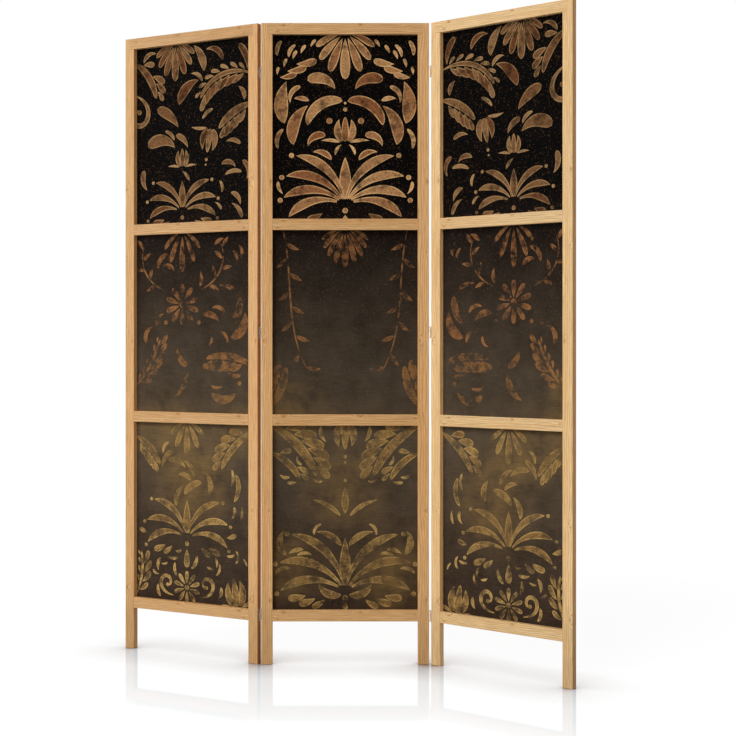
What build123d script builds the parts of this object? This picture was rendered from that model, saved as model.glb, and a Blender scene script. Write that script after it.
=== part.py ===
from build123d import *

import os
from math import radians, tan

# One panel
panel_height = 1720
panel_width = 450
leg_height = 115
rail_names = ["bottom_rail", "lower_middle_rail", "upper_middle_rail", "top_rail"]

# Pine laths of the frames
lath_width = 30
lath_thickness = 17
edge_break = 0.6

# Half-lap of the top rail over the stiles
lap_length = 15
lap_depth = 8.5

# Printed board in the rebate at the back
board_thickness = 3
board_lap = 8
board_clearance = 0.5

# Dowels across the butt joints
dowel_diameter = 6
dowel_length = 30
dowel_spacing = 15
dowel_chamfer = 0.6
dowel_clearance = 0.05
dowel_end_room = 0.5

# Tacks that hold the board
tack_diameter = 1.4
tack_length = 10
tack_head_diameter = 3.2
tack_head_thickness = 0.6
tack_tip_length = 2
tack_clearance = 0.05
tack_end_room = 0.5
opening_tack_count = 3
rail_tack_count = 3

# Butt hinges on the stile edges
hinge_height = 30
leaf_width = 13
leaf_thickness = 1
knuckle_count = 3
pin_diameter = 3
pin_clearance = 0.05
pin_head_diameter = 4.6
pin_head_thickness = 0.8
knuckle_gap = 0.2
notch_clearance = 0.4
axis_stand_off = 1.5
hinge_from_top = 130
hinge_above_middle_rail = 220

# Left joint, where the hinges are let into the stiles so that these nearly touch
left_joint_gap = 1
pocket_clearance = 0.3

# Screws of the hinges
screw_diameter = 2.5
screw_length = 12
screw_tip_length = 3
screw_head_diameter = 4.5
screw_spacing = 17
screw_head_angle = 90
screw_clearance = 0.1
screw_end_room = 0.5
recess_length = 2.6
recess_width = 0.6
recess_depth = 0.5
point_radius = 0.15

# Folds as the screen stands, 0 being straight
left_fold_angle = 30
right_fold_angle = 41


# Middles of equal steps along a length
def even_steps(start, length, count):
    return [start + length * (step + 0.5) / count for step in range(count)]


# Openings, with a rail under and over each, and rails that butt between the stiles
opening_width = panel_width - 2 * lath_width
rail_pitch = (panel_height - leg_height - lath_width) / (len(rail_names) - 1)
opening_height = rail_pitch - lath_width
rail_bottoms = {rail: leg_height + row * rail_pitch for row, rail in enumerate(rail_names)}
opening_bottoms = [rail_bottoms[rail] + lath_width for rail in rail_names[:-1]]
butted_rails = rail_names[:-1]
middle_rail_thickness = lath_thickness - board_thickness
dowel_depth = middle_rail_thickness / 2

# Board and its rebate
board_width = opening_width + 2 * board_lap
board_height = panel_height - leg_height - 2 * lath_width + 2 * board_lap
board_middle = leg_height + lath_width - board_lap + board_height / 2
rebate_width = board_lap + board_clearance

# Tacks: along the stiles beside each opening, and along each rail where the board lies on it
stile_tack_heights = [
    height
    for bottom in opening_bottoms
    for height in even_steps(bottom, opening_height, opening_tack_count)
]
rail_tack_heights = {rail: bottom + lath_width / 2 for rail, bottom in rail_bottoms.items()}
rail_tack_heights["bottom_rail"] = rail_bottoms["bottom_rail"] + lath_width - board_lap / 2
rail_tack_heights["top_rail"] = rail_bottoms["top_rail"] + board_lap / 2

# Hinge barrel, as wide as the gap of the right joint when its stiles are in line
knuckle_radius = pin_diameter / 2 + pin_clearance + leaf_thickness
barrel_diameter = 2 * knuckle_radius
right_joint_gap = barrel_diameter
plate_offset = knuckle_radius - leaf_thickness
curl_depth = (knuckle_radius**2 - plate_offset**2) ** 0.5
notch_depth = ((knuckle_radius + notch_clearance) ** 2 - plate_offset**2) ** 0.5
knuckle_height = (hinge_height - (knuckle_count - 1) * knuckle_gap) / knuckle_count
knuckle_bottoms = [row * (knuckle_height + knuckle_gap) for row in range(knuckle_count)]
hinge_heights = {
    "lower": rail_bottoms["bottom_rail"] + lath_width / 2,
    "centre": rail_bottoms["lower_middle_rail"] + lath_width + hinge_above_middle_rail,
    "upper": panel_height - hinge_from_top,
}

# Pockets of the left joint's hinges, open at the back and at the stile's edge
pocket_depth = (barrel_diameter - left_joint_gap) / 2
pocket_width = leaf_width - axis_stand_off + pocket_clearance
pocket_height = hinge_height + 2 * (pin_head_thickness + pocket_clearance)

# Screws stand midway between the edge of the wood and the end of the leaf
screw_from_axis = (leaf_width + axis_stand_off) / 2
screw_head_height = (screw_head_diameter - screw_diameter) / 2 / tan(radians(screw_head_angle / 2))
into_seat = (Align.CENTER, Align.CENTER, Align.MAX)
out_of_seat = (Align.CENTER, Align.CENTER, Align.MIN)


# Plane of a panel that folds about a pivot, with +X along the panel and +Y to the back
def folded_plane(pivot, pivot_on_panel, fold):
    turned = Plane.XY.rotated((0, 0, -fold))
    corner = Vector(*pivot) - turned.from_local_coords(pivot_on_panel)
    return Plane(corner, x_dir=turned.x_dir, z_dir=turned.z_dir)


# Fold axes, measured from the front left foot: behind the left joint, before the right one
back_axis = lath_thickness + axis_stand_off
front_axis = -axis_stand_off
left_step = left_joint_gap / 2
right_step = right_joint_gap / 2
loose_planes = {
    "left": folded_plane((-left_step, back_axis), (panel_width + left_step, back_axis), left_fold_angle),
    "middle": Plane.XY,
    "right": folded_plane((panel_width + right_step, front_axis), (-right_step, front_axis), right_fold_angle),
}

# The origin lies on the floor, at the middle of the space that the three panels take
corners = [
    plane.from_local_coords((x, y))
    for plane in loose_planes.values()
    for x in (0, panel_width)
    for y in (0, lath_thickness)
]
middle_x = (min(corner.X for corner in corners) + max(corner.X for corner in corners)) / 2
middle_y = (min(corner.Y for corner in corners) + max(corner.Y for corner in corners)) / 2
panels = {
    side: Plane(plane.origin - Vector(middle_x, middle_y), x_dir=plane.x_dir, z_dir=plane.z_dir)
    for side, plane in loose_planes.items()
}

# Outer edge of each stile and the way from it to the middle of its panel
stiles = {"left_stile": (0, 1), "right_stile": (panel_width, -1)}

# Each hinged stile: its panel, the seat of its leaves, the way out of it, the depth of the axis and the way to
# the leaf
hinged_stiles = {
    ("left", "right_stile"): (panels["left"], panel_width - pocket_depth, 1, back_axis, -1),
    ("middle", "left_stile"): (panels["middle"], pocket_depth, -1, back_axis, -1),
    ("middle", "right_stile"): (panels["middle"], panel_width, 1, front_axis, 1),
    ("right", "left_stile"): (panels["right"], 0, -1, front_axis, 1),
}
pocketed_stiles = [("left", "right_stile"), ("middle", "left_stile")]

# Each joint: the stile that carries the fixed leaves and the one that carries the swing leaves
joints = {
    "left": (("middle", "left_stile"), ("left", "right_stile")),
    "right": (("middle", "right_stile"), ("right", "left_stile")),
}


# Plane parallel to a panel's front, some depth behind it, with +Y up and its normal to the front
def face_plane(panel, depth):
    return Plane(panel.from_local_coords((0, depth, 0)), x_dir=panel.x_dir, z_dir=-panel.y_dir)


# Seats of the dowels between rails and one stile, with the normal along the panel
def dowel_seats(panel, distance, rails, facing):
    heights = [rail_bottoms[rail] + lath_width / 2 for rail in rails]
    return [
        Plane(
            panel.from_local_coords((distance, dowel_depth, height + step)),
            x_dir=panel.y_dir,
            z_dir=panel.x_dir * facing,
        )
        for height in heights
        for step in (-dowel_spacing / 2, dowel_spacing / 2)
    ]


# Seats of tacks on the back of the board, with the normal to the back
def tack_seats(panel, spots):
    return [
        Plane(panel.from_local_coords((x, lath_thickness, z)), x_dir=panel.x_dir, z_dir=panel.y_dir)
        for x, z in spots
    ]


def stile_tacks(panel, outer, inward):
    x = outer + inward * (lath_width - board_lap / 2)
    return tack_seats(panel, [(x, z) for z in stile_tack_heights])


def rail_tacks(panel, rail):
    steps = even_steps(lath_width, opening_width, rail_tack_count)
    return tack_seats(panel, [(x, rail_tack_heights[rail]) for x in steps])


# Seats of hinge screws on the outer faces of leaves, with the normal out of the stile's edge
def screw_seats(panel, edge, outward, axis_depth, to_leaf, heights):
    x = edge + outward * leaf_thickness
    y = axis_depth + to_leaf * screw_from_axis
    return [
        Plane(panel.from_local_coords((x, y, height + step)), x_dir=panel.y_dir, z_dir=panel.x_dir * outward)
        for height in heights
        for step in (-screw_spacing / 2, screw_spacing / 2)
    ]


def drill_dowel_holes(seats):
    with Locations(*seats):
        Hole(dowel_diameter / 2 + dowel_clearance, dowel_length / 2 + dowel_end_room)


def drill_tack_holes(seats):
    with Locations(*seats):
        Hole(tack_diameter / 2 + tack_clearance, tack_length + tack_end_room)


def drill_screw_holes(seats):
    with Locations(*seats):
        CounterSinkHole(
            radius=screw_diameter / 2 + screw_clearance,
            counter_sink_radius=screw_head_diameter / 2 + screw_clearance,
            depth=screw_length + screw_end_room,
            counter_sink_angle=screw_head_angle,
        )


# Stile: a full-height lath, notched for the top rail, rebated for the board, pocketed and drilled
def make_stile(panel, outer, inward, pockets, screws):
    with BuildPart() as stile:
        with BuildSketch(face_plane(panel, 0)):
            with Locations((outer + inward * lath_width / 2, panel_height / 2)):
                Rectangle(lath_width, panel_height)
        extrude(amount=-lath_thickness)
        chamfer(stile.edges(), edge_break)
        with BuildSketch(face_plane(panel, 0)):
            with Locations((outer + inward * (lath_width - lap_length / 2), panel_height - lath_width / 2)):
                Rectangle(lap_length, lath_width)
        extrude(amount=-lap_depth, mode=Mode.SUBTRACT)
        with BuildSketch(face_plane(panel, lath_thickness)):
            with Locations((outer + inward * (lath_width - rebate_width / 2), board_middle)):
                Rectangle(rebate_width, board_height + 2 * board_clearance)
        extrude(amount=board_thickness, mode=Mode.SUBTRACT)
        if pockets:
            with BuildSketch(face_plane(panel, lath_thickness)):
                with Locations(*[(outer + inward * pocket_depth / 2, height) for height in pockets]):
                    Rectangle(pocket_depth, pocket_height)
            extrude(amount=pocket_width, mode=Mode.SUBTRACT)
        drill_dowel_holes(dowel_seats(panel, outer + inward * lath_width, butted_rails, inward))
        drill_tack_holes(stile_tacks(panel, outer, inward))
        if screws:
            drill_screw_holes(screws)
    return stile


# Top rail: its front half runs on over the stiles, and its back is rebated for the board
def make_top_rail(panel):
    bottom = rail_bottoms["top_rail"]
    with BuildPart() as rail:
        with BuildSketch(panel.offset(bottom)):
            with Locations((panel_width / 2, lath_thickness / 2)):
                Rectangle(opening_width, lath_thickness)
            with Locations((panel_width / 2, lap_depth / 2)):
                Rectangle(opening_width + 2 * lap_length, lap_depth)
        extrude(amount=lath_width)
        long_edges = rail.edges().filter_by(Axis(panel.origin, panel.x_dir))
        by_depth = long_edges.group_by(Axis(panel.origin, panel.y_dir))
        chamfer(by_depth[0] + by_depth[-1], edge_break)
        with BuildSketch(face_plane(panel, lath_thickness)):
            with Locations((panel_width / 2, bottom + rebate_width / 2)):
                Rectangle(opening_width, rebate_width)
        extrude(amount=board_thickness, mode=Mode.SUBTRACT)
        drill_tack_holes(rail_tacks(panel, "top_rail"))
    return rail


# Butted rail: the bottom one is rebated for the board, and the middle ones are thinner by the board
def make_butted_rail(panel, name):
    bottom = rail_bottoms[name]
    thickness = lath_thickness if name == "bottom_rail" else middle_rail_thickness
    with BuildPart() as rail:
        with BuildSketch(face_plane(panel, 0)):
            with Locations((panel_width / 2, bottom + lath_width / 2)):
                Rectangle(opening_width, lath_width)
        extrude(amount=-thickness)
        chamfer(rail.edges().filter_by(Axis(panel.origin, panel.x_dir)), edge_break)
        if name == "bottom_rail":
            with BuildSketch(face_plane(panel, lath_thickness)):
                with Locations((panel_width / 2, bottom + lath_width - rebate_width / 2)):
                    Rectangle(opening_width, rebate_width)
            extrude(amount=board_thickness, mode=Mode.SUBTRACT)
        drill_dowel_holes(dowel_seats(panel, lath_width, [name], -1))
        drill_dowel_holes(dowel_seats(panel, panel_width - lath_width, [name], 1))
        drill_tack_holes(rail_tacks(panel, name))
    return rail


# Board: one sheet behind all three openings, flush with the back of the frame
def make_board(panel, tacks):
    with BuildPart() as board:
        with BuildSketch(face_plane(panel, lath_thickness)):
            with Locations((panel_width / 2, board_middle)):
                Rectangle(board_width, board_height)
        extrude(amount=board_thickness)
        drill_tack_holes(tacks)
    return board


def make_dowels(panel):
    seats = dowel_seats(panel, lath_width, butted_rails, 1)
    seats += dowel_seats(panel, panel_width - lath_width, butted_rails, 1)
    with BuildPart() as dowels:
        with Locations(*seats):
            Cylinder(dowel_diameter / 2, dowel_length)
        chamfer(dowels.edges().filter_by(GeomType.CIRCLE), dowel_chamfer)
    return dowels


# Pointed shank under a head at each seat, made in the part that is being built
def add_shanks(seats, radius, length, tip_length):
    straight = length - tip_length
    with Locations(*seats):
        Cylinder(radius, straight, align=into_seat)
        with Locations((0, 0, -straight)):
            Cone(point_radius, radius, tip_length, align=into_seat)


def make_tacks(seats):
    with BuildPart() as tacks:
        with Locations(*seats):
            Cylinder(tack_head_diameter / 2, tack_head_thickness, align=out_of_seat)
        add_shanks(seats, tack_diameter / 2, tack_length, tack_tip_length)
    return tacks


# Screws: countersunk heads with a cross recess, flush with the leaves
def make_screws(seats):
    with BuildPart() as screws:
        with Locations(*seats):
            Cone(screw_diameter / 2, screw_head_diameter / 2, screw_head_height, align=into_seat)
        add_shanks(seats, screw_diameter / 2, screw_length, screw_tip_length)
        with Locations(*seats):
            Box(recess_length, recess_width, recess_depth, align=into_seat, mode=Mode.SUBTRACT)
            Box(recess_width, recess_length, recess_depth, align=into_seat, mode=Mode.SUBTRACT)
    return screws


# Leaf: a plate on its seat in the stile, notched round the other leaf's knuckles and curled into its own,
# which are every second one along the barrel
def make_leaf(panel, edge, outward, axis_depth, to_leaf, height, knuckles):
    bottom = height - hinge_height / 2
    axis_x = edge + outward * knuckle_radius
    inner_face = edge + outward * leaf_thickness
    plate_start = axis_depth + to_leaf * notch_depth
    plate_end = axis_depth + to_leaf * leaf_width
    curl_end = (inner_face, axis_depth + to_leaf * curl_depth)
    with BuildPart() as leaf:
        with BuildSketch(panel.offset(bottom)):
            with Locations(((edge + inner_face) / 2, (plate_start + plate_end) / 2)):
                Rectangle(leaf_thickness, leaf_width - notch_depth)
        extrude(amount=hinge_height)
        for knuckle_bottom in knuckles:
            with BuildSketch(panel.offset(bottom + knuckle_bottom)):
                with BuildLine():
                    Polyline(curl_end, (inner_face, plate_end), (edge, plate_end), (edge, axis_depth))
                    ThreePointArc((edge, axis_depth), (edge + outward * barrel_diameter, axis_depth), curl_end)
                make_face()
                with Locations((axis_x, axis_depth)):
                    Circle(pin_diameter / 2 + pin_clearance, mode=Mode.SUBTRACT)
            extrude(amount=knuckle_height)
        drill_screw_holes(screw_seats(panel, edge, outward, axis_depth, to_leaf, [height]))
    return leaf


# Pin: runs through all the knuckles, with a head on each end of the barrel
def make_pin(panel, edge, outward, axis_depth, height):
    spot = (edge + outward * knuckle_radius, axis_depth)
    bottom = height - hinge_height / 2
    with BuildPart() as pin:
        with BuildSketch(panel.offset(bottom)):
            with Locations(spot):
                Circle(pin_diameter / 2)
        extrude(amount=hinge_height)
        with BuildSketch(panel.offset(bottom - pin_head_thickness), panel.offset(bottom + hinge_height)):
            with Locations(spot):
                Circle(pin_head_diameter / 2)
        extrude(amount=pin_head_thickness)
    return pin


def write_piece(piece, name):
    piece.part.label = name
    export_step(piece.part, f"parts/{name}.step")


os.makedirs("parts", exist_ok=True)

# Panels
for side, panel in panels.items():
    tacks = [seat for rail in rail_names for seat in rail_tacks(panel, rail)]
    screws = []
    for stile, (outer, inward) in stiles.items():
        stile_screws = []
        if (side, stile) in hinged_stiles:
            stile_screws = screw_seats(*hinged_stiles[side, stile], hinge_heights.values())
        pockets = list(hinge_heights.values()) if (side, stile) in pocketed_stiles else []
        write_piece(make_stile(panel, outer, inward, pockets, stile_screws), f"{side}_panel_{stile}")
        screws += stile_screws
        tacks += stile_tacks(panel, outer, inward)
    write_piece(make_top_rail(panel), f"{side}_panel_top_rail")
    for rail in butted_rails:
        write_piece(make_butted_rail(panel, rail), f"{side}_panel_{rail}")
    write_piece(make_board(panel, tacks), f"{side}_panel_board")
    write_piece(make_dowels(panel), f"{side}_panel_rail_dowels")
    write_piece(make_tacks(tacks), f"{side}_panel_board_tacks")
    write_piece(make_screws(screws), f"{side}_panel_hinge_screws")

# Hinges
for joint, (fixed, swing) in joints.items():
    for row, height in hinge_heights.items():
        hinge = f"{joint}_{row}_hinge"
        write_piece(make_leaf(*hinged_stiles[fixed], height, knuckle_bottoms[0::2]), f"{hinge}_fixed_leaf")
        write_piece(make_leaf(*hinged_stiles[swing], height, knuckle_bottoms[1::2]), f"{hinge}_swing_leaf")
        write_piece(make_pin(*hinged_stiles[fixed][:4], height), f"{hinge}_pin")
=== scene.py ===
from math import atan2, cos, degrees, hypot, pi, radians, sin, sqrt
from random import Random

import bpy
import bmesh
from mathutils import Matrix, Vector


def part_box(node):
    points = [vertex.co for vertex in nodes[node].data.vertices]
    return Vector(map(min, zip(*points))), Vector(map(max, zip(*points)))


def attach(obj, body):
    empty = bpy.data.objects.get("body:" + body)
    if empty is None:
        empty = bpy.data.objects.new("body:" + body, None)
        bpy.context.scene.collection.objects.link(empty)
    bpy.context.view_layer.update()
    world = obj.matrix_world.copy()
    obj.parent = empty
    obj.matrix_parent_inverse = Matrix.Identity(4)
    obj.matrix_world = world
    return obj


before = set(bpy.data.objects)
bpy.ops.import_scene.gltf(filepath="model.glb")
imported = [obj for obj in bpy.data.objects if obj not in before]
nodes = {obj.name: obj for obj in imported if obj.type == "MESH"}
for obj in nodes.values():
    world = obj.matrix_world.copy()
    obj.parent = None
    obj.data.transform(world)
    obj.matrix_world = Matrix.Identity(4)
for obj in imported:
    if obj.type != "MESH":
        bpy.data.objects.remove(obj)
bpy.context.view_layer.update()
mm = 0.001


# Colours and nodes

def linear(code):  # sRGB hex to linear
    parts = [int(code[at:at + 2], 16) / 255 for at in (1, 3, 5)]
    return [part / 12.92 if part <= 0.04045 else ((part + 0.055) / 1.055) ** 2.4 for part in parts] + [1.0]


def addNode(tree, kind, inputs=None, stops=None, **settings):
    node = tree.nodes.new("ShaderNode" + kind)
    for name, value in settings.items():
        setattr(node, name, value)
    for socket, value in (inputs or {}).items():
        if isinstance(value, bpy.types.NodeSocket):
            tree.links.new(value, node.inputs[socket])
        else:
            node.inputs[socket].default_value = value
    if stops:  # places and hex colours of a colour ramp
        marks = node.color_ramp.elements
        for place, code in stops[1:-1]:
            marks.new(place)
        for mark, (place, code) in zip(marks, stops):
            mark.position, mark.color = place, linear(code)
    return node


def newMaterial(name):
    made = bpy.data.materials.new(name)
    made.use_nodes = True
    made.node_tree.nodes.clear()
    return made, made.node_tree


def closeMaterial(tree, shader):
    addNode(tree, "OutputMaterial", {"Surface": shader})


def scale(tree, vector, share):
    return addNode(tree, "VectorMath", {0: vector, "Scale": share}, operation="SCALE").outputs[0]


def multiply(tree, one, other):
    return addNode(tree, "VectorMath", {0: one, 1: other}, operation="MULTIPLY").outputs[0]


def blend(tree, share, first, second):
    return addNode(tree, "Mix", {0: share, 6: first, 7: second}, data_type="RGBA").outputs[2]


def addNoise(tree, place, size, detail, roughness=0.5):
    settings = {"Vector": place, "Scale": 1 / size, "Detail": detail, "Roughness": roughness}
    return addNode(tree, "TexNoise", settings).outputs["Fac"]


# Whether a ray comes from the camera, straight or by way of a gloss
def addSeen(tree):
    rays = addNode(tree, "LightPath")
    straight, glossy = rays.outputs["Is Camera Ray"], rays.outputs["Is Glossy Ray"]
    return rays, addNode(tree, "Math", {0: straight, 1: glossy}, operation="MAXIMUM").outputs[0]


# Panels: the frame of each, worked out from its two stiles

def middleOf(node):
    low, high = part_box(node)
    return (low + high) / 2


def measurePanels():
    low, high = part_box("middle_panel_left_stile")
    lathWidth, lathDepth, panelHeight = high - low
    found = {}
    for side in ("left", "middle", "right"):
        leftMiddle, rightMiddle = middleOf(side + "_panel_left_stile"), middleOf(side + "_panel_right_stile")
        span = rightMiddle - leftMiddle
        along = Vector((span.x, span.y, 0)).normalized()
        inward = Vector((-along.y, along.x, 0))
        corner = leftMiddle - along * lathWidth / 2 - inward * lathDepth / 2
        found[side] = {
            "origin": Vector((corner.x, corner.y, 0)),
            "along": along,
            "inward": inward,
            "angle": atan2(along.y, along.x),
            "width": span.length + lathWidth,
        }
    return found, lathWidth, lathDepth, panelHeight


panels, lathWidth, lathDepth, panelHeight = measurePanels()
railBottoms = [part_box("middle_panel_" + rail)[0].z for rail in
               ("bottom_rail", "lower_middle_rail", "upper_middle_rail", "top_rail")]
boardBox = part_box("middle_panel_board")
boardDepth = boardBox[0].y - panels["middle"]["origin"].y  # of its printed face, behind the panel's front
panelWidth = panels["middle"]["width"]
# heights of the printed openings' edges, in millimetres
printFoot, upperFoot = ((railBottoms[at] + lathWidth) / mm for at in (0, 2))
lowerTop, middleTop, printTop = (bottom / mm for bottom in railBottoms[1:])
print("panels measured:", [round(panel["angle"] * 180 / pi, 2) for panel in panels.values()])


# Coordinates in millimetres on a panel: along it, into it and up

def panelPlace(tree, side):
    panel = panels[side]
    here = addNode(tree, "TexCoord")
    return addNode(tree, "Mapping", {
        "Vector": here.outputs["Object"],
        "Location": panel["origin"],
        "Rotation": (0, 0, panel["angle"]),
        "Scale": (mm, mm, mm),
    }, vector_type="TEXTURE").outputs["Vector"]


# Camera, at the photograph's viewing angle

cameraLook = {
    "lens": 75,             # mm, on a sensor 36 mm wide
    "distance": 4.1115,     # from the middle panel's front
    "right": 0.0614,        # of the middle panel's middle line
    "height": 0.865,
    "shift": -0.0356,       # share of the image
}


def addCamera():
    front = panels["middle"]["origin"]
    data = bpy.data.cameras.new("camera")
    data.lens, data.sensor_width, data.sensor_fit = cameraLook["lens"], 36, "HORIZONTAL"
    data.shift_y = cameraLook["shift"]
    camera = bpy.data.objects.new("camera", data)
    camera.location = (front.x + panelWidth / 2 + cameraLook["right"], front.y - cameraLook["distance"],
                       cameraLook["height"])
    camera.rotation_euler = (pi / 2, 0, 0)
    bpy.context.scene.collection.objects.link(camera)
    bpy.context.scene.camera = camera
    bpy.context.scene.view_settings.view_transform = "Standard"


# Studio: a sun through a big diffuser, a softbox at the left and a pale dome

studio = {
    "sunStrength": 1.55,
    "sunSpread": 28,         # degrees
    "sunFrom": (-0.62, -1.0, 1.05),
    "boxStrength": 34,
    "boxSize": (1.4, 2.4),
    "boxPlace": (-3.0, -1.1, 1.5),
    "domeStrength": 0.42,
    "floorSize": 40,
    "floorGrey": "#b4b4b4",      # what the object sees of the floor
    "floorShade": "#5c5c5c",     # the part of the white that shadows take away
    "floorGlow": 0.93,
    "polish": (0.42, 0.34, 0.30),    # share of red, green and blue reflected at the feet
    "polishReach": 0.62,         # m, from the feet
    "polishFall": 0.5,
    "polishRoughness": 0.05,
    "shadeReach": 0.22,          # m
    "shadeFrom": (-0.95, -0.2, 0.25),
    "shadeDepth": 0.08,          # what is left of the white where half the view is blocked
}


def aimLamp(lamp, target):
    lamp.rotation_euler = (Vector(target) - lamp.location).to_track_quat("-Z", "Y").to_euler()


def addLamps():
    sun = bpy.data.objects.new("sun", bpy.data.lights.new("sun", "SUN"))
    sun.data.energy, sun.data.angle = studio["sunStrength"], radians(studio["sunSpread"])
    sun.location = studio["sunFrom"]
    box = bpy.data.objects.new("softbox", bpy.data.lights.new("softbox", "AREA"))
    box.data.shape, box.data.energy = "RECTANGLE", studio["boxStrength"]
    box.data.size, box.data.size_y = studio["boxSize"]
    box.location = studio["boxPlace"]
    for lamp, target in ((sun, (0, 0, 0)), (box, (0, 0, panelHeight / 2))):
        aimLamp(lamp, target)
        bpy.context.scene.collection.objects.link(lamp)
    world = bpy.data.worlds.new("dome")
    bpy.context.scene.world = world
    world.use_nodes = True
    tree = world.node_tree
    tree.nodes.clear()
    rays, seen = addSeen(tree)
    seen = addNode(tree, "Math", {0: seen, 1: rays.outputs["Is Transmission Ray"]}, operation="MAXIMUM")
    dome = addNode(tree, "Background", {"Color": linear("#ffffff"), "Strength": studio["domeStrength"]})
    white = addNode(tree, "Background", {"Color": linear("#ffffff"), "Strength": 1.0})
    both = addNode(tree, "MixShader", {0: seen.outputs[0], 1: dome.outputs[0], 2: white.outputs[0]})
    addNode(tree, "OutputWorld", {"Surface": both.outputs[0]})


def addFloor():
    mesh = bpy.data.meshes.new("floor")
    half = studio["floorSize"] / 2
    corners = [(-half, -half, 0), (half, -half, 0), (half, half, 0), (-half, half, 0)]
    mesh.from_pydata(corners, [], [(0, 1, 2, 3)])
    floor = bpy.data.objects.new("floor", mesh)
    bpy.context.scene.collection.objects.link(floor)
    made, tree = newMaterial("studioFloor")
    here = addNode(tree, "SeparateXYZ", {0: addNode(tree, "TexCoord").outputs["Object"]})
    feet = {side: panels[side]["origin"] for side in panels}
    slope = {side: panels[side]["along"].y / panels[side]["along"].x for side in panels}
    # line of the feet: level in the middle, sloping at either side
    leftRun = addNode(tree, "Math", {0: feet["middle"].x, 1: here.outputs["X"]},
                      operation="SUBTRACT", use_clamp=True)
    rightRun = addNode(tree, "Math", {0: here.outputs["X"], 1: feet["right"].x},
                       operation="SUBTRACT", use_clamp=True)
    line = addNode(tree, "Math", {0: leftRun.outputs[0], 1: -slope["left"], 2: feet["middle"].y},
                   operation="MULTIPLY_ADD")
    line = addNode(tree, "Math", {0: rightRun.outputs[0], 1: slope["right"], 2: line.outputs[0]},
                   operation="MULTIPLY_ADD")
    away = addNode(tree, "Math", {0: line.outputs[0], 1: here.outputs["Y"]}, operation="SUBTRACT")
    away = addNode(tree, "Math", {0: away.outputs[0]}, operation="ABSOLUTE")
    polish = addNode(tree, "MapRange", {0: away.outputs[0], 1: 0.0, 2: studio["polishReach"], 3: 1.0, 4: 0.0})
    polish = addNode(tree, "Math", {0: polish.outputs[0], 1: studio["polishFall"]}, operation="POWER")
    # a bluish gloss turns the reflected pine grey, and the floor's own white makes up for the tint
    tint = scale(tree, studio["polish"], polish.outputs[0])
    rest = addNode(tree, "VectorMath", {0: (1, 1, 1), 1: tint}, operation="SUBTRACT").outputs[0]
    # soft shade at the right of each foot, as if a low light stood at the left
    near = addNode(tree, "AmbientOcclusion",
                   {"Distance": studio["shadeReach"], "Normal": studio["shadeFrom"]}, samples=8)
    near = addNode(tree, "MapRange", {0: near.outputs["AO"], 1: 0.5, 2: 1.0, 3: studio["shadeDepth"], 4: 1.0})
    rest = scale(tree, rest, near.outputs[0])
    dull = multiply(tree, rest, linear(studio["floorShade"])[:3])
    seen = addSeen(tree)[1]
    grey = addNode(tree, "BsdfDiffuse", {"Color": linear(studio["floorGrey"])})
    shade = addNode(tree, "BsdfDiffuse", {"Color": dull})
    glow = addNode(tree, "Emission", {"Color": rest, "Strength": studio["floorGlow"]})
    white = addNode(tree, "AddShader", {0: shade.outputs[0], 1: glow.outputs[0]})
    mirror = addNode(tree, "BsdfGlossy", {"Color": tint, "Roughness": studio["polishRoughness"]})
    polished = addNode(tree, "AddShader", {0: white.outputs[0], 1: mirror.outputs[0]})
    both = addNode(tree, "MixShader", {0: seen, 1: grey.outputs[0], 2: polished.outputs[0]})
    closeMaterial(tree, both.outputs[0])
    mesh.materials.append(made)


# Pine: planed laths under a thin satin lacquer, so straight rings, dark pin knots and a soft sheen

pine = {
    "springWood": "#e8bf89",
    "summerWood": "#ca9252",
    "warmWood": "#d9a667",
    "knot": "#8a5a2e",
    "knotRim": "#b9823f",
    "endShade": 0.78,
    "footShadeReach": 300,       # mm
    "ringWidth": 4.2,       # mm
    "wander": 9.0,          # mm, of the painted shade at the feet
    # lengths and widths in mm; a real fibre is finer than the render shows
    "wanderSize": (240, 60, 60),
    "fibreSize": (46, 2, 2),
    "toneSize": (420, 26, 26),
    "roughness": 0.5,
    "shine": 0.3,           # thin satin lacquer
}

# Each panel has a tone of its own, partly the wood's and partly painted light: the right panel is painted
# lighter and paler, standing in for its sheen. The laths vary a little about it at random
panelToneAndLight = {"left": 0.85, "middle": 0.95, "right": 1.1}
panelRednessAndSheen = {"left": 0.1, "middle": 0.1, "right": -0.2}
lathVariety = 0.05
railShare = 0.88    # rails are cut from nearer the heart, so they are darker
footPaintedShade = 0.75    # painted shade: the stiles darken towards the feet
shadeAndDarkGrainEdge = (0.75, 0.6, 0.45)   # partly painted shade on the right stiles' outer edges, which face away from the lamps, and partly a darker, redder edge grain
paintedLightEdge = (1.3, 1.2, 1.1)       # painted light on the left stiles' inner edges, which face away from the lamps

# Knots of a lath, from its lower or left end, in millimetres: place, off its middle line and radius
stileKnots = [(412, 6, 1.9), (868, -12, 2.6), (1295, 13, 3.4), (1106, 11, 1.6), (172, 10, 3.0)]
railKnots = [(14, -10, 2.4), (30, 11, 3.2), (236, 13, 3.0), (382, 4, 1.3)]


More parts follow.
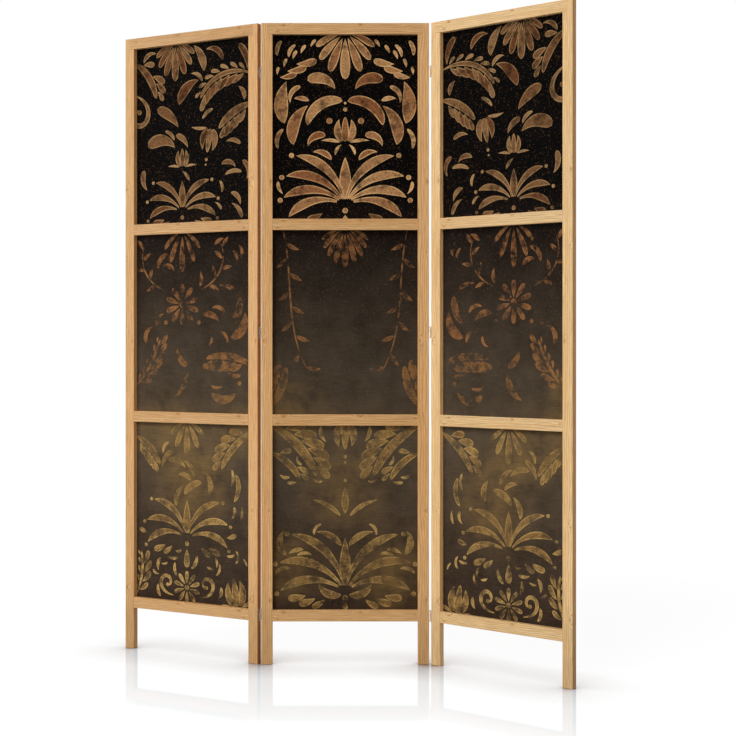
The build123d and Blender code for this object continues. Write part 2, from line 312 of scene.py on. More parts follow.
def addPine(side, lath, upright, seed):
    made, tree = newMaterial("pine_" + side + "_" + lath)
    here = addNode(tree, "SeparateXYZ", {0: panelPlace(tree, side)})
    x, y, z = here.outputs
    if upright:
        across = 0 if lath == "left_stile" else panelWidth / mm
        middle = abs(across - lathWidth / mm / 2)
        grain = addNode(tree, "CombineXYZ", {0: z, 1: x, 2: y})
    else:
        low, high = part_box(side + "_panel_" + lath)
        middle = (low.z + high.z) / 2 / mm
        grain = addNode(tree, "CombineXYZ", {0: x, 1: z, 2: y})
    grain = addNode(tree, "VectorMath", {0: grain.outputs[0], 1: (0, middle, 0)}, operation="SUBTRACT")
    grain = grain.outputs[0]
    # each lath shows another part of the noise
    apart = (seed * 731.0, seed * 97.0, seed * 53.0)
    shifted = addNode(tree, "VectorMath", {0: grain, 1: apart}, operation="ADD").outputs[0]

    # wander of the rings along the lath
    slow = multiply(tree, shifted, [1 / size for size in pine["wanderSize"]])
    wander = addNoise(tree, slow, 1.0, 2.0)
    wander = addNode(tree, "MapRange", {0: wander, 3: -pine["wander"], 4: pine["wander"]}).outputs[0]

    # rings about a heart that lies beside the lath
    heart = (0, -38 - 9 * (seed % 4), 26 + 11 * (seed % 3))
    ring = addNode(tree, "VectorMath", {0: grain, 1: heart}, operation="SUBTRACT")
    ring = addNode(tree, "VectorMath", {0: ring.outputs[0], 1: (0, 1, 1)}, operation="MULTIPLY")
    ring = addNode(tree, "VectorMath", {0: ring.outputs[0]}, operation="LENGTH").outputs["Value"]
    ring = addNode(tree, "Math", {0: ring, 1: wander}, operation="ADD").outputs[0]

    # knots push the rings aside
    core = 0.0
    rim = 0.0
    for place, off, radius in (stileKnots if upright else railKnots):
        if not upright and side == "left":
            place = panelWidth / mm - 2 * lathWidth / mm - place
        if not upright:
            place += lathWidth / mm
        if upright and side == "left":
            off = -off
        off = off * 0.8
        apart = addNode(tree, "VectorMath", {0: grain, 1: (place, off, 0)}, operation="SUBTRACT")
        apart = addNode(tree, "VectorMath", {0: apart.outputs[0], 1: (0.4, 1, 0)}, operation="MULTIPLY")
        apart = addNode(tree, "VectorMath", {0: apart.outputs[0]}, operation="LENGTH").outputs["Value"]
        push = addNode(tree, "MapRange", {0: apart, 1: 0.0, 2: radius * 4.5, 3: radius * 2.4, 4: 0.0},
                       interpolation_type="SMOOTHERSTEP")
        ring = addNode(tree, "Math", {0: ring, 1: push.outputs[0]}, operation="ADD").outputs[0]
        spot = addNode(tree, "MapRange", {0: apart, 1: radius * 0.15, 2: radius * 0.6, 3: 0.85, 4: 0.0},
                       interpolation_type="SMOOTHSTEP")
        core = addNode(tree, "Math", {0: core, 1: spot.outputs[0]}, operation="MAXIMUM").outputs[0]
        halo = addNode(tree, "MapRange", {0: apart, 1: radius * 0.5, 2: radius * 1.8, 3: 0.4, 4: 0.0},
                       interpolation_type="SMOOTHSTEP")
        rim = addNode(tree, "Math", {0: rim, 1: halo.outputs[0]}, operation="MAXIMUM").outputs[0]

    # fibres, drawn out along the grain
    fine = multiply(tree, shifted, [1 / size for size in pine["fibreSize"]])
    fibre = addNoise(tree, fine, 1.0, 3.0, 0.6)
    phase = addNode(tree, "Math", {0: ring, 1: 1 / pine["ringWidth"]}, operation="MULTIPLY")
    phase = addNode(tree, "Math", {0: fibre, 1: 0.5, 2: phase.outputs[0]}, operation="MULTIPLY_ADD")
    phase = addNode(tree, "Math", {0: phase.outputs[0]}, operation="FRACT").outputs[0]
    summer = addNode(tree, "ValToRGB", {0: phase}, stops=[
        (0.0, "#000000"), (0.4, "#303030"), (0.78, "#d0d0d0"), (0.93, "#ffffff"), (1.0, "#000000")])

    # broad changes of tone
    broad = multiply(tree, shifted, [1 / size for size in pine["toneSize"]])
    tone = addNoise(tree, broad, 1.0, 3.0, 0.55)
    tone = addNode(tree, "MapRange", {0: tone, 1: 0.35, 2: 0.75, 3: 0.0, 4: 0.75}).outputs[0]
    colour = blend(tree, tone, linear(pine["springWood"]), linear(pine["warmWood"]))
    colour = blend(tree, summer.outputs["Color"], colour, linear(pine["summerWood"]))
    streak = addNode(tree, "MapRange", {0: fibre, 1: 0.28, 2: 0.72, 3: 0.76, 4: 1.22}).outputs[0]
    colour = scale(tree, colour, streak)
    colour = blend(tree, rim, colour, linear(pine["knotRim"]))
    colour = blend(tree, core, colour, linear(pine["knot"]))

    # the lath's own tone with the panel's painted light; sawn ends are darker, and painted shade darkens the
    # feet
    rednessAndSheen = panelRednessAndSheen[side]
    dim = panelToneAndLight[side] * Random(seed).uniform(1 - lathVariety, 1 + lathVariety)
    if not upright:
        dim *= railShare
    if upright:
        turned = addNode(tree, "SeparateXYZ", {0: addNode(tree, "TexCoord").outputs["Normal"]})
        cut = addNode(tree, "Math", {0: turned.outputs["Z"]}, operation="ABSOLUTE")
        cut = addNode(tree, "MapRange", {0: cut.outputs[0], 1: 0.85, 2: 0.95, 3: 1.0, 4: pine["endShade"]})
        # painted shade near the floor
        foot = addNode(tree, "MapRange", {0: z, 1: 0.0, 2: pine["footShadeReach"], 3: footPaintedShade, 4: 1.0},
                       interpolation_type="SMOOTHSTEP")
        dim = addNode(tree, "Math", {0: cut.outputs[0], 1: dim}, operation="MULTIPLY").outputs[0]
        dim = addNode(tree, "Math", {0: foot.outputs[0], 1: dim}, operation="MULTIPLY").outputs[0]
    colour = scale(tree, colour, dim)
    # redness of the wood, with a painted paleness for the right panel's sheen
    colour = multiply(tree, colour, (1, 1 - rednessAndSheen / 2, 1 - rednessAndSheen))
    # Painted shade and painted light on the stiles' sides that face the panel's right, away from the lamps
    if upright:
        turned = addNode(tree, "TexCoord").outputs["Normal"]
        facing = addNode(tree, "VectorMath", {0: turned, 1: panels[side]["along"]}, operation="DOT_PRODUCT")
        facing = addNode(tree, "MapRange", {0: facing.outputs["Value"], 1: 0.7, 2: 0.95}).outputs[0]
        share = shadeAndDarkGrainEdge if lath == "right_stile" else paintedLightEdge
        colour = blend(tree, facing, colour, multiply(tree, colour, share))

    rough = addNode(tree, "MapRange", {0: phase, 3: pine["roughness"] + 0.06, 4: pine["roughness"] - 0.06})
    relief = addNode(tree, "Math", {0: fibre, 1: 0.6, 2: phase}, operation="MULTIPLY_ADD")
    bump = addNode(tree, "Bump", {"Strength": 0.25, "Distance": 0.00012, "Height": relief.outputs[0]})
    shader = addNode(tree, "BsdfPrincipled", {
        "Base Color": colour, "Roughness": rough.outputs[0], "IOR": 1.5, "Specular IOR Level": pine["shine"],
        "Normal": bump.outputs[0]})
    closeMaterial(tree, shader.outputs[0])
    return made


# Print: pigment ink on sealed hardboard, so matt, nearly black at the top and brushed brown below

ground = {
    "heights": [
        (printFoot, "#33271f"), (600, "#514537"), (1150, "#1a1411"), (1250, "#060505"), (printTop, "#040303"),
    ],
    "cloudSize": 75,        # mm
    "fleckSize": 3.2,       # mm
    "fleckColour": "#7d5838",
    "streakLength": 60,     # mm
    "streakWidth": 2.2,     # mm
    "backColour": "#8f6e4a",
    "backMottle": 22,       # mm
    "backMesh": 7,          # mm
    "roughness": 0.62,
    "shine": 0.02,          # matt ink: far less than a bare board's
}

# Painted glow: warm, paler patches scattered over the lower half of each board, standing in for a sheen
paintedGlows = {
    "count": 4,
    "colour": "#80643a",
    "strength": 0.5,
    "size": 90,             # mm
    "lowest": 250,          # mm
    "highest": 750,         # mm
}


def heightShare(height):
    return (height - printFoot) / (printTop - printFoot)


def addHeightRamp(tree, share, heights):
    stops = [(heightShare(height), code) for height, code in heights]
    return addNode(tree, "ValToRGB", {0: share}, stops=stops).outputs["Color"]


def addGround(tree, side):
    place = panelPlace(tree, side)
    here = addNode(tree, "SeparateXYZ", {0: place})
    share = addNode(tree, "MapRange", {0: here.outputs["Z"], 1: printFoot, 2: printTop}).outputs[0]
    colour = addHeightRamp(tree, share, ground["heights"])
    clouds = addNoise(tree, place, ground["cloudSize"], 4.0, 0.62)
    thick = addNode(tree, "MapRange", {0: clouds, 1: 0.3, 2: 0.7, 3: 0.72, 4: 1.28}).outputs[0]
    return place, here, share, clouds, scale(tree, colour, thick)


# Painted glow: blends warm, paler patches into the board's colour
def addPaintedGlows(tree, side, place, clouds, colour):
    pick = Random(list(panels).index(side))
    broken = addNode(tree, "MapRange", {0: clouds, 1: 0.32, 2: 0.66, 3: 0.15, 4: 1.2}).outputs[0]
    for patch in range(paintedGlows["count"]):
        x, z = pick.uniform(0, panelWidth / mm), pick.uniform(paintedGlows["lowest"], paintedGlows["highest"])
        wide, high = (paintedGlows["size"] * pick.uniform(0.7, 1.5) for way in range(2))
        apart = addNode(tree, "VectorMath", {0: place, 1: (x, boardDepth / mm, z)}, operation="SUBTRACT")
        apart = multiply(tree, apart.outputs[0], (1 / wide, 0, 1 / high))
        apart = addNode(tree, "VectorMath", {0: apart}, operation="LENGTH").outputs["Value"]
        shape = addNode(tree, "MapRange", {0: apart, 1: 0.0, 2: 1.6, 3: paintedGlows["strength"], 4: 0.0},
                        interpolation_type="SMOOTHERSTEP")
        fac = addNode(tree, "Math", {0: shape.outputs[0], 1: broken}, operation="MULTIPLY", use_clamp=True)
        colour = blend(tree, fac.outputs[0], colour, linear(paintedGlows["colour"]))
    return colour


def addBrushing(tree, place, share, colour):
    drawn = multiply(tree, place, (1 / ground["streakLength"], 0, 1 / ground["streakWidth"]))
    streaks = addNoise(tree, drawn, 1.0, 2.0)
    depth = addNode(tree, "MapRange", {0: share, 1: 0.3, 2: 0.75, 3: 0.85, 4: 0.3})
    swing = addNode(tree, "Math", {0: streaks, 1: 0.5}, operation="SUBTRACT")
    swing = addNode(tree, "Math", {0: swing.outputs[0], 1: depth.outputs[0]}, operation="MULTIPLY")
    swing = addNode(tree, "Math", {0: swing.outputs[0], 1: 1.0}, operation="ADD")
    return scale(tree, colour, swing.outputs[0]), streaks


def closePrint(tree, colour, streaks):
    bump = addNode(tree, "Bump", {"Strength": 0.3, "Distance": 0.00008, "Height": streaks})
    low, high = ground["roughness"] - 0.08, ground["roughness"] + 0.08
    rough = addNode(tree, "MapRange", {0: streaks, 3: low, 4: high})
    shader = addNode(tree, "BsdfPrincipled", {
        "Base Color": colour, "Roughness": rough.outputs[0], "Specular IOR Level": ground["shine"],
        "Normal": bump.outputs[0]})
    closeMaterial(tree, shader.outputs[0])


def addBoardFinish(side):
    made, tree = newMaterial("printedHardboard_" + side)
    place, here, share, clouds, colour = addGround(tree, side)
    # painted glow over the print
    colour = addPaintedGlows(tree, side, place, clouds, colour)
    colour, streaks = addBrushing(tree, place, share, colour)
    # flecks of ink, thinly scattered over the whole board
    grit = addNoise(tree, place, ground["fleckSize"], 1.0)
    grit = addNode(tree, "MapRange", {0: grit, 1: 0.64, 2: 0.74, 4: 0.4}).outputs[0]
    colour = blend(tree, grit, colour, linear(ground["fleckColour"]))
    # the back is bare hardboard: pressed brown fibres with the mark of the wire mesh that it was
    # made on, drawn coarser than it is
    back = addNoise(tree, place, ground["backMottle"], 6.0, 0.65)
    back = addNode(tree, "MapRange", {0: back, 1: 0.3, 2: 0.7, 3: 0.7, 4: 1.22}).outputs[0]
    for direction in ("X", "Z"):
        weave = addNode(tree, "TexWave", {"Vector": place, "Scale": 2 * pi / (20 * ground["backMesh"])},
                        bands_direction=direction)
        weave = addNode(tree, "MapRange", {0: weave.outputs["Fac"], 3: 0.9, 4: 1.04}).outputs[0]
        back = addNode(tree, "Math", {0: back, 1: weave}, operation="MULTIPLY").outputs[0]
    bare = scale(tree, linear(ground["backColour"])[:3], back)
    behind = addNode(tree, "Math", {0: here.outputs["Y"], 1: boardDepth / mm + 0.5}, operation="GREATER_THAN")
    colour = blend(tree, behind.outputs[0], colour, bare)
    closePrint(tree, colour, streaks)
    return made


# Raised ink: bronze above and gold below, speckled, with a paler rim, worn away by height

ink = {
    "heights": [(printFoot, "#86653a"), (650, "#86653a"), (1000, "#8a5634"), (printTop, "#8a5634")],
    "rims": [(lowerTop, "#b8955a"), (690, "#96683f"), (middleTop, "#96683f"), (upperFoot, "#dcae76")],
    # share of the ink not worn away, by height
    "left": [(lowerTop, 0.6), (690, 0.4), (middleTop, 0.4), (upperFoot, 0.9)],
    "wearSize": 34,        # mm
    "sideShare": 0.5,      # brightness of the ink in the top openings of the side panels
    "rimWidth": 3.6,       # mm
    "grain": 3.0,          # mm
    "slim": 14,            # mm, width of a stroke below which it is pale
    "thickness": 0.12,     # mm
    "layer": 0.01,         # mm that each further stroke stands out, so that crossing ones lie over each other
}


def addInkFinish(side):
    made, tree = newMaterial("raisedInk_" + side)
    place, here, share, clouds, colour = addGround(tree, side)
    body = addHeightRamp(tree, share, ink["heights"])
    rimColour = addHeightRamp(tree, share, ink["rims"])
    left = addHeightRamp(tree, share, [
        (z, "#" + "%02x" % round(255 * much ** 0.4545) * 3) for z, much in ink["left"]])
    speckle = addNoise(tree, place, ink["grain"], 2.0, 0.7)
    shade = addNode(tree, "MapRange", {0: speckle, 1: 0.32, 2: 0.68, 3: 0.5, 4: 1.35}).outputs[0]
    # slim strokes carry more of the paler powder than broad leaves
    pale = addNode(tree, "Attribute", attribute_name="pale").outputs["Fac"]
    body = scale(tree, blend(tree, pale, body, rimColour), shade)
    edge = addNode(tree, "Attribute", attribute_name="edge").outputs["Fac"]
    rim = addNode(tree, "MapRange", {0: edge, 1: ink["rimWidth"] * 0.4, 2: ink["rimWidth"], 3: 0.95, 4: 0.0})
    patchy = addNode(tree, "MapRange", {0: clouds, 1: 0.38, 2: 0.55, 3: 0.35, 4: 1.0}).outputs[0]
    rim = addNode(tree, "Math", {0: rim.outputs[0], 1: patchy}, operation="MULTIPLY").outputs[0]
    body = blend(tree, rim, body, rimColour)
    if side != "middle":
        dim = addNode(tree, "MapRange", {0: share, 1: heightShare(middleTop), 2: heightShare(upperFoot),
                                         3: 1.0, 4: ink["sideShare"]})
        body = scale(tree, body, dim.outputs[0])
    worn = addNoise(tree, place, ink["wearSize"], 5.0, 0.7)
    worn = addNode(tree, "MapRange", {0: worn, 1: 0.38, 2: 0.58, 3: -0.5, 4: 0.45}).outputs[0]
    stays = addNode(tree, "Math", {0: worn, 1: left}, operation="ADD", use_clamp=True).outputs[0]
    colour = blend(tree, stays, colour, body)
    # painted glow over the ink
    colour = addPaintedGlows(tree, side, place, clouds, colour)
    closePrint(tree, addBrushing(tree, place, share, colour)[0], speckle)
    return made


# Ornament: damask leaves, scrolls and flowers, all drawn as strokes that swell and taper

# Share of half the width at each place along a stroke, 0 to 1
widthShapes = {
    "drop": lambda t: sqrt(max(0.0, 1 - (2 * t**1.7 - 1) ** 2)),
    "bud": lambda t: sqrt(max(0.0, 1 - (2 * t**0.75 - 1) ** 2)) * (1 - 0.25 * t),
    "leaf": lambda t: max(0.0, sin(pi * t**0.8)) ** 0.9,
    "blade": lambda t: 1.75 * t**0.55 * (1 - t) ** 0.5,
    "scroll": lambda t: (0.2 + 0.8 * sin(pi * min(0.5, t * 0.95)) - 0.35 * max(0, t - 0.5)) * sqrt(1 - t**12),
    "vine": lambda t: max(0.0, sin(pi * (0.08 + 0.92 * t))) ** 0.5,
    "frond": lambda t: (0.3 + 0.7 * sin(pi * t**1.6)) * sqrt(max(0.0, 1 - t**10)) if t > 0.02 else 0.25,
}


def drawStroke(start, heading, length, width, shape="drop", turn=0.0, bend=0.0, steps=22):
    x, z = start
    stroke = []
    for step in range(steps + 1):
        t = step / steps
        stroke.append((x, z, width / 2 * widthShapes[shape](t)))
        angle = radians(heading + turn * (t + 0.5 / steps) + bend * (t + 0.5 / steps) ** 2)
        x += cos(angle) * length / steps
        z += sin(angle) * length / steps
    return [stroke]


def headingAt(heading, turn, bend, t):
    return heading + turn * t + bend * t * t


def aside(place, angle, distance):
    return place[0] + cos(radians(angle)) * distance, place[1] + sin(radians(angle)) * distance


def drawFan(centre, middle, spread, petals, length, width, shrink, curl, gap):
    strokes = []
    for petal in range(petals):
        away = 2 * petal / (petals - 1) - 1
        angle = middle + away * spread / 2
        size = 1 - shrink * abs(away)
        foot = aside(centre, angle, gap)
        strokes += drawStroke(foot, angle, length * size, width * size, "drop", away * curl)
    return strokes


def bothSides(strokes, middle=0.0):
    return strokes + [[(2 * middle - x, z, half) for x, z, half in stroke] for stroke in strokes]


def drawDot(centre, size, steps=12):
    x, z = centre
    places = [step / steps for step in range(steps + 1)]
    return [[(x, z + size * (t - 0.5), size / 2 * sqrt(1 - (2 * t - 1) ** 2)) for t in places]]


# Scroll that tightens to a round eye
def drawVolute(start, heading, length, width, turn, bend):
    spine = drawStroke(start, heading, length, width, "scroll", turn, bend, 44)
    last = headingAt(heading, turn, bend, 1)
    side = 1 if turn + 2 * bend > 0 else -1
    return spine + drawDot(aside(spine[0][-1][:2], last + side * 60, width * 0.32), width * 0.95)


# Rib with lobes that lean to its tip
def drawAcanthus(start, heading, length, turn, bend, lobes, side, reach, back, ribWidth, lean=52):
    steps = 36
    rib = drawStroke(start, heading, length, ribWidth, "scroll", turn, bend, steps)
    strokes = list(rib)
    for way, size in ((side, reach), (-side, back)):
        for lobe in range(lobes):
            t = 0.14 + 0.78 * lobe / (lobes - 1)
            x, z, half = rib[0][int(t * steps)]
            along = headingAt(heading, turn, bend, t)
            lobeLength = size * (0.55 + 0.45 * sin(pi * (0.1 + 0.8 * t)))
            foot = aside((x, z), along + way * 90, half + 1.6)
            strokes += drawStroke(foot, along + way * (lean - 18 * t), lobeLength, lobeLength * 0.36,
                                  "drop", -way * 34)
    return strokes


def drawRosette(centre, petals, length, width, eye):
    strokes = drawDot(centre, eye)
    for petal in range(petals):
        angle = 90 + 360 * petal / petals
        strokes += drawStroke(aside(centre, angle, eye / 2 + 2.5), angle, length, width)
    return strokes


def drawVine(start, heading, length, turn, bend, leaves, leafLength, leafWidth, width=5.0, lean=42):
    steps = 40
    stem = drawStroke(start, heading, length, width, "vine", turn, bend, steps)
    strokes = list(stem)
    for leaf in range(leaves):
        t = (leaf + 1) / (leaves + 0.4)
        side = 1 if leaf % 2 else -1
        along = headingAt(heading, turn, bend, t)
        x, z, half = stem[0][int(t * steps)]
        foot = aside((x, z), along + side * 90, half + 1.5)
        strokes += drawStroke(foot, along + side * lean, leafLength, leafWidth, "leaf", side * 25)
    return strokes


def drawTulip(foot, heading, size):
    strokes = drawStroke(foot, heading, size, size * 0.34, "bud")
    for side in (-1, 1):
        strokes += drawStroke(aside(foot, heading + side * 90, size * 0.13), heading + side * 38, size * 0.95,
                              size * 0.3, "leaf", -side * 62)
        strokes += drawStroke(aside(foot, heading + side * 100, size * 0.2), heading + side * 70, size * 0.8,
                              size * 0.14, "leaf", side * 30)
    return strokes


# Fronds that arch out to the two sides of a middle leaf, each with a bead at its tip
def drawPalmette(root, heading, pairs, reach, width, first=16, step=19, curl=52, shrink=0.07):
    strokes = drawStroke(aside(root, heading, 12), heading, reach * 0.62, width * 1.25, "leaf")
    for way in (-1, 1):
        for pair in range(pairs):
            angle = heading + way * (first + step * pair)
            foot, length = aside(root, angle, 14 + 3 * pair), reach * (1 - shrink * pair)
            frond = drawStroke(foot, angle, length, width, "frond", way * curl, way * 12)
            end = angle + way * (curl + 12)
            strokes += frond + drawDot(aside(frond[0][-1][:2], end, width * 0.5), width * 0.55)
    return strokes


# Curved blade with petals along its inner side
def drawLobed(start, heading, length, width, turn, side, lobes=5, lobe=0.4):
    steps = 30
    spine = drawStroke(start, heading, length, width, "blade", turn, 0, steps)
    strokes = list(spine)
    for at in range(lobes):
        t = 0.2 + 0.7 * at / (lobes - 1)
        x, z, half = spine[0][int(t * steps)]
        along = headingAt(heading, turn, 0, t)
        size = length * lobe * (0.6 + 0.4 * sin(pi * t))
        strokes += drawStroke(aside((x, z), along + side * 90, half + 2.0), along + side * (58 - 26 * t), size,
                              size * 0.42, "drop", -side * 30)
    return strokes


# Strokes laid so far are kept by squares of the panel, so that a new one is only compared with its neighbours
squareSize = 40  # mm, wider than any stroke


def isFree(laid, stroke, room):
    for x, z, half in stroke:
        column, row = int(x // squareSize), int(z // squareSize)
        for near in ((i, j) for i in range(column - 1, column + 2) for j in range(row - 1, row + 2)):
            for otherX, otherZ, otherHalf in laid.get(near, ()):
                if hypot(x - otherX, z - otherZ) < half + otherHalf + room:
                    return False
    return True


def lay(laid, kept, strokes, room=1.5):
    fresh = [stroke for stroke in strokes if isFree(laid, stroke, room)]
    for stroke in fresh:
        for spot in stroke:
            laid.setdefault((int(spot[0] // squareSize), int(spot[1] // squareSize)), []).append(spot)
    kept += fresh


# Loose leaves between the motifs, the longest laid first
def fillLeaves(laid, kept, axis, heights, root, sizes, tries, seed, mirrored):
    pick = Random(seed)
    low, high = heights
    for size in sizes:
        for attempt in range(tries):
            away = pick.uniform(4, 240)
            x = axis + away * (1 if mirrored else pick.choice((-1, 1)))
            z = pick.uniform(low, high)
            out = degrees(atan2(z - root, x - axis))
            way = pick.choice((-1, 1))
            length = size * pick.uniform(0.85, 1.15)
            heading = out + way * pick.uniform(0, 40)
            width = length * 0.27 * pick.uniform(0.8, 1.25)
            shape = pick.choice(("leaf", "drop", "blade"))
            leaf = drawStroke((x, z), heading, length, width, shape, way * pick.uniform(40, 110), 0, 16)
            inside = all(low + half < z < high - half and abs(x) < 188 for x, z, half in leaf[0])
            clear = not mirrored or all(x - half > axis + 3 for x, z, half in leaf[0])
            pair = bothSides(leaf, axis) if mirrored else leaf
            if inside and clear and all(isFree(laid, stroke, 2.2) for stroke in pair):
                lay(laid, kept, pair, 0)


def printPanel(motifs, fills):
    laid, kept = {}, []
    for motif in motifs:
        lay(laid, kept, motif)
    for fill in fills:
        fillLeaves(laid, kept, *fill)
    return kept


# Places are in millimetres, from the panel's middle line and from the floor

def drawMiddle():
    top = [
        drawPalmette((0, 1236), 90, 4, 185, 25, 14, 20, 60),
        bothSides(drawLobed((30, 1216), 4, 150, 28, 58, -1, 5, 0.34)),
        drawDot((0, 1218), 15) + drawStroke((0, 1206), -90, 20, 14),
        drawTulip((0, 1404), 90, 66) + drawDot((0, 1490), 11) + drawDot((0, 1507), 7),
        bothSides(drawVolute((22, 1398), 24, 240, 17, 60, 290)),
        drawFan((0, 1697), -90, 150, 7, 110, 27, 0.35, -26, 16),
        bothSides(drawAcanthus((196, 1560), 128, 190, 40, -20, 6, 1, 56, 26, 13)),
        bothSides(drawVolute((122, 1700), -106, 160, 14, -60, -260)),
    ]
    centre = [
        drawFan((0, 1172), -90, 150, 9, 92, 18, 0.4, -34, 16),
        bothSides(drawVine((168, 1168), -104, 400, 56, -74, 9, 38, 12)),
        bothSides(drawLobed((200, 690), 128, 120, 26, -36, -1, 5, 0.36)),
    ]
    low = [
        drawTulip((0, 646), -90, 70) + drawDot((0, 556), 10) + drawDot((0, 540), 6),
        bothSides(drawLobed((200, 640), 206, 190, 30, 44, -1, 6, 0.34)),
        bothSides(drawLobed((200, 566), 198, 110, 22, 50, -1, 5, 0.36)),
        drawPalmette((0, 196), 90, 3, 210, 24, 13, 24, 58, 0.1),
        bothSides(drawLobed((24, 178), 0, 150, 22, 40, -1, 5, 0.32)),
        drawDot((0, 176), 15) + drawStroke((0, 164), -90, 20, 14),
        drawStroke((0, 404), 90, 70, 20, "leaf") + drawDot((0, 492), 9),
        bothSides(drawStroke((12, 396), 50, 90, 13, "leaf", -40)),
    ]
    return printPanel(top + centre + low, [
        (0, (1198, 1690), 1236, (130, 96, 64, 40), 130, 3, True),
        (0, (148, 380), 190, (70, 46), 70, 5, True),
        (0, (480, 640), 700, (50, 30), 60, 8, True),
    ])


def drawSide():
    axis = -36
    top = [
        drawPalmette((axis, 1226), 90, 3, 120, 18, 18, 26, 58),
        bothSides(drawLobed((-16, 1206), 4, 110, 20, 50, -1, 5, 0.36), axis),
        drawDot((axis, 1210), 12),
        drawTulip((axis, 1352), 90, 50),
        drawAcanthus((199, 1590), 158, 200, 66, 20, 7, 1, 62, 32, 14),
        drawLobed((199, 1510), 186, 130, 26, 46, 1, 5, 0.38),
        drawFan((-60, 1700), -90, 140, 7, 96, 24, 0.35, -26, 14),
        drawLobed((-199, 1650), -30, 130, 26, -50, 1, 5, 0.36),
        drawVolute((-198, 1560), -24, 190, 15, -70, -270),
        drawTulip((60, 1450), -100, 66) + drawDot((46, 1366), 9) + drawDot((44, 1352), 6),
    ]
    centre = [
        drawFan((axis, 1172), -90, 130, 5, 100, 19, 0.35, -34, 14),
        drawRosette((axis, 968), 10, 46, 15, 18),
        bothSides(drawVolute((-20, 896), -24, 180, 13, 70, 265), axis),
        bothSides(drawVine((30, 1010), 20, 160, 60, 40, 5, 34, 11), axis),
        drawLobed((199, 800), 150, 160, 24, 46, 1, 6, 0.34),
        drawVolute((199, 760), 130, 170, 13, 80, 240),
        drawAcanthus((-199, 740), 40, 160, 40, -10, 6, -1, 48, 22, 10),
    ]
    low = [
        drawFan((-20, 646), -90, 130, 5, 86, 21, 0.35, -24, 12),
        drawLobed((199, 622), 206, 150, 24, 40, -1, 5, 0.36),
        drawLobed((-199, 600), -20, 120, 22, -44, -1, 5, 0.36),
        drawPalmette((-20, 322), 90, 3, 150, 19, 17, 26, 60),
        bothSides(drawLobed((4, 306), -6, 130, 20, 50, -1, 5, 0.34), -20),
        drawDot((-20, 306), 14) + drawStroke((-20, 290), -90, 50, 20),
        drawRosette((-20, 184), 10, 36, 12, 15),
        bothSides(drawVolute((26, 160), 4, 130, 11, 60, 280), -20),
        drawTulip((150, 146), 100, 76),
        drawAcanthus((-196, 150), 66, 130, 20, 20, 5, -1, 44, 20, 9),
    ]
    return printPanel(top + centre + low, [
        (axis, (1400, 1688), 1330, (110, 80, 52), 70, 11, False),
        (axis, (1198, 1400), 1210, (56, 36), 40, 12, False),
        (axis, (690, 1150), 900, (90, 60, 40), 50, 17, False),
        (-20, (380, 636), 320, (70, 44), 60, 13, False),
        (-20, (148, 300), 320, (40, 26), 50, 14, False),
    ])


# Ink of one opening as a clean mesh, in panel millimetres (x, depth, z)

def addStroke(mesh, layers, stroke, face, luck):
    rows = []
    last = len(stroke) - 1
    under = boardDepth / mm
    widest = 2 * max(half for x, z, half in stroke)
    pale = min(1.0, max(0.0, 1.2 - widest / ink["slim"]) + 0.45 * luck)
    for at, (x, z, half) in enumerate(stroke):
        before, after = stroke[max(0, at - 1)], stroke[min(last, at + 1)]
        length = hypot(after[0] - before[0], after[1] - before[1])
        sideways = (-(after[1] - before[1]) / length, (after[0] - before[0]) / length)
        row = []
        corners = ((-1, face, 0.0), (0, face, half), (1, face, 0.0), (1, under, 0.0), (-1, under, 0.0))
        for way, depth, inside in corners:
            vert = mesh.verts.new((x + sideways[0] * way * half, depth, z + sideways[1] * way * half))
            vert[layers[0]], vert[layers[1]] = inside, pale
            row.append(vert)
        rows.append(row)
    for one, two in zip(rows, rows[1:]):
        for at in range(5):
            mesh.faces.new((one[at], one[(at + 1) % 5], two[(at + 1) % 5], two[at]))
    mesh.faces.new(rows[0])
    mesh.faces.new(rows[-1][::-1])


def clipToOpening(mesh, low, high):
    for axis in (0, 2):
        for way, place in ((-1, low[axis // 2]), (1, high[axis // 2])):
            spot, normal = [0, 0, 0], [0, 0, 0]
            spot[axis], normal[axis] = place, way
            cut = bmesh.ops.bisect_plane(mesh, geom=mesh.verts[:] + mesh.edges[:] + mesh.faces[:], dist=1e-4,
                                         plane_co=spot, plane_no=normal, clear_outer=True)
            edges = [item for item in cut["geom_cut"] if isinstance(item, bmesh.types.BMEdge)]
            bmesh.ops.holes_fill(mesh, edges=edges, sides=0)


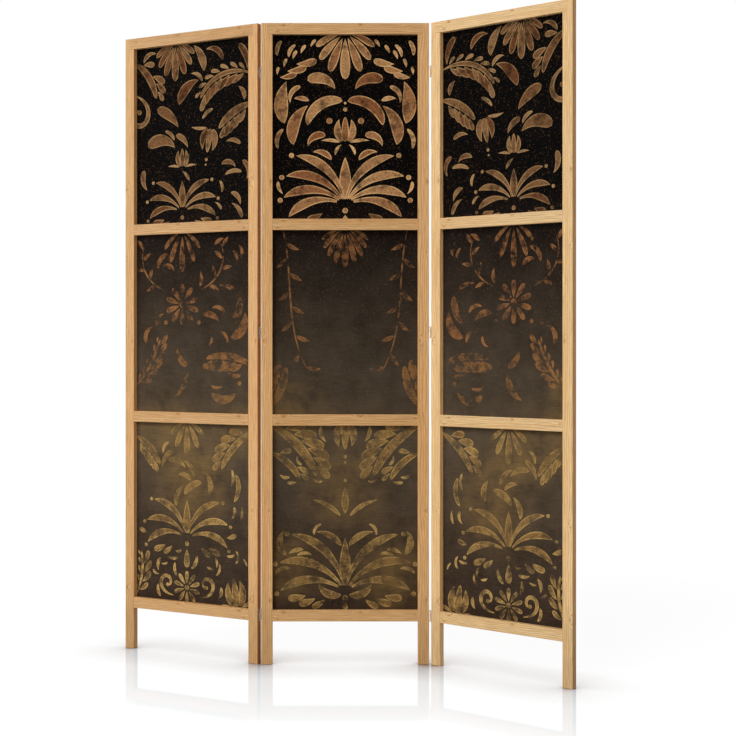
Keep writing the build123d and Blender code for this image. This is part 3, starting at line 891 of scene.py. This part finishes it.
def addOrnament(side, strokes, finish):
    panel = panels[side]
    inset = 0.1  # mm, keeps the ink off the laths
    reach = panelWidth / mm / 2 - lathWidth / mm - inset
    for level, bottom, top in zip(("lower", "middle", "upper"), railBottoms, railBottoms[1:]):
        low, high = (-reach, bottom / mm + lathWidth / mm + inset), (reach, top / mm - inset)
        mesh = bmesh.new()
        mesh.verts.layers.float.new("edge")
        mesh.verts.layers.float.new("pale")
        layers = [mesh.verts.layers.float[layer] for layer in ("edge", "pale")]
        count = 0
        pick = Random(5)
        for stroke in strokes:
            if any(low[1] < z + half and z - half < high[1] for x, z, half in stroke):
                face = boardDepth / mm - ink["thickness"] - ink["layer"] * (count % 8)
                addStroke(mesh, layers, stroke, face, pick.random())
                count += 1
        bmesh.ops.remove_doubles(mesh, verts=mesh.verts, dist=1e-4)
        bmesh.ops.dissolve_degenerate(mesh, dist=1e-4, edges=mesh.edges)
        clipToOpening(mesh, low, high)
        bmesh.ops.recalc_face_normals(mesh, faces=mesh.faces)
        for vert in mesh.verts:
            x, depth, z = vert.co
            vert.co = (panel["origin"] + panel["along"] * (panelWidth / 2 + x * mm)
                       + panel["inward"] * depth * mm + Vector((0, 0, z * mm)))
        name = side + "_panel_" + level + "_ornament"
        data = bpy.data.meshes.new(name)
        mesh.to_mesh(data)
        mesh.free()
        data.materials.append(finish)
        piece = bpy.data.objects.new(name, data)
        bpy.context.scene.collection.objects.link(piece)
        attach(piece, side + "_panel")


# Metals, handled and a little tarnished: colour, roughness and size of the rubbed marks in millimetres
metals = {
    "nickelPlateStamped": ("#dcd2ca", 0.42, 1.2),
    "steelDrawn": ("#c4beb8", 0.35, 0.8),
    "zincPlateStruck": ("#b9b6ae", 0.36, 0.6),
}


def addMetal(name):
    code, roughness, grit = metals[name]
    made, tree = newMaterial(name)
    place = addNode(tree, "TexCoord").outputs["Object"]
    rub = addNoise(tree, place, grit * mm, 3.0)
    rough = addNode(tree, "MapRange", {0: rub, 1: 0.3, 2: 0.7, 3: roughness - 0.08, 4: roughness + 0.12})
    tarnish = addNode(tree, "MapRange", {0: rub, 1: 0.3, 2: 0.7, 3: 0.86, 4: 1.04}).outputs[0]
    bump = addNode(tree, "Bump", {"Strength": 0.15, "Distance": 0.00005, "Height": rub})
    shader = addNode(tree, "BsdfPrincipled", {
        "Base Color": scale(tree, linear(code)[:3], tarnish), "Metallic": 1.0, "Roughness": rough.outputs[0],
        "Normal": bump.outputs[0]})
    closeMaterial(tree, shader.outputs[0])
    return made


beechLook = {
    "colour": "#c9a271",
    "fleck": "#a5784a",
    "fleckSize": 0.7,   # mm
    "roughness": 0.6,   # turned and left bare
}


# Turned beech: pinkish brown with short dark flecks, and dull for want of lacquer
def addBeech():
    made, tree = newMaterial("beechTurned")
    place = addNode(tree, "TexCoord").outputs["Object"]
    flecks = addNoise(tree, place, beechLook["fleckSize"] * mm, 2.0)
    much = addNode(tree, "MapRange", {0: flecks, 1: 0.5, 2: 0.7}).outputs[0]
    colour = blend(tree, much, linear(beechLook["colour"]), linear(beechLook["fleck"]))
    bump = addNode(tree, "Bump", {"Strength": 0.2, "Distance": 0.0001, "Height": flecks})
    shader = addNode(tree, "BsdfPrincipled", {
        "Base Color": colour, "Roughness": beechLook["roughness"], "Normal": bump.outputs[0]})
    closeMaterial(tree, shader.outputs[0])
    return made


def wear(node, finish):
    data = nodes[node].data
    data.materials.clear()
    data.materials.append(finish)


addCamera()
addLamps()
addFloor()
print("stage set")

laths = ("left_stile", "right_stile", "top_rail", "upper_middle_rail", "lower_middle_rail", "bottom_rail")
seed = 0
for side in panels:
    for lath in laths:
        seed += 1
        wear(side + "_panel_" + lath, addPine(side, lath, "stile" in lath, seed))
print("pine laths finished")

sideStrokes = drawSide()
prints = {
    "left": sideStrokes,
    "middle": drawMiddle(),
    "right": [[(-x, z, half) for x, z, half in stroke] for stroke in sideStrokes],
}
for side in panels:
    wear(side + "_panel_board", addBoardFinish(side))
    addOrnament(side, prints[side], addInkFinish(side))
print("boards printed")

nickel, steel, zinc = (addMetal(name) for name in metals)
beech = addBeech()
for name in nodes:
    if name.endswith("_leaf"):
        wear(name, nickel)
    elif name.endswith("_pin"):
        wear(name, steel)
    elif name.endswith("_screws") or name.endswith("_tacks"):
        wear(name, zinc)
    elif name.endswith("_dowels"):
        wear(name, beech)
print("metal finished")
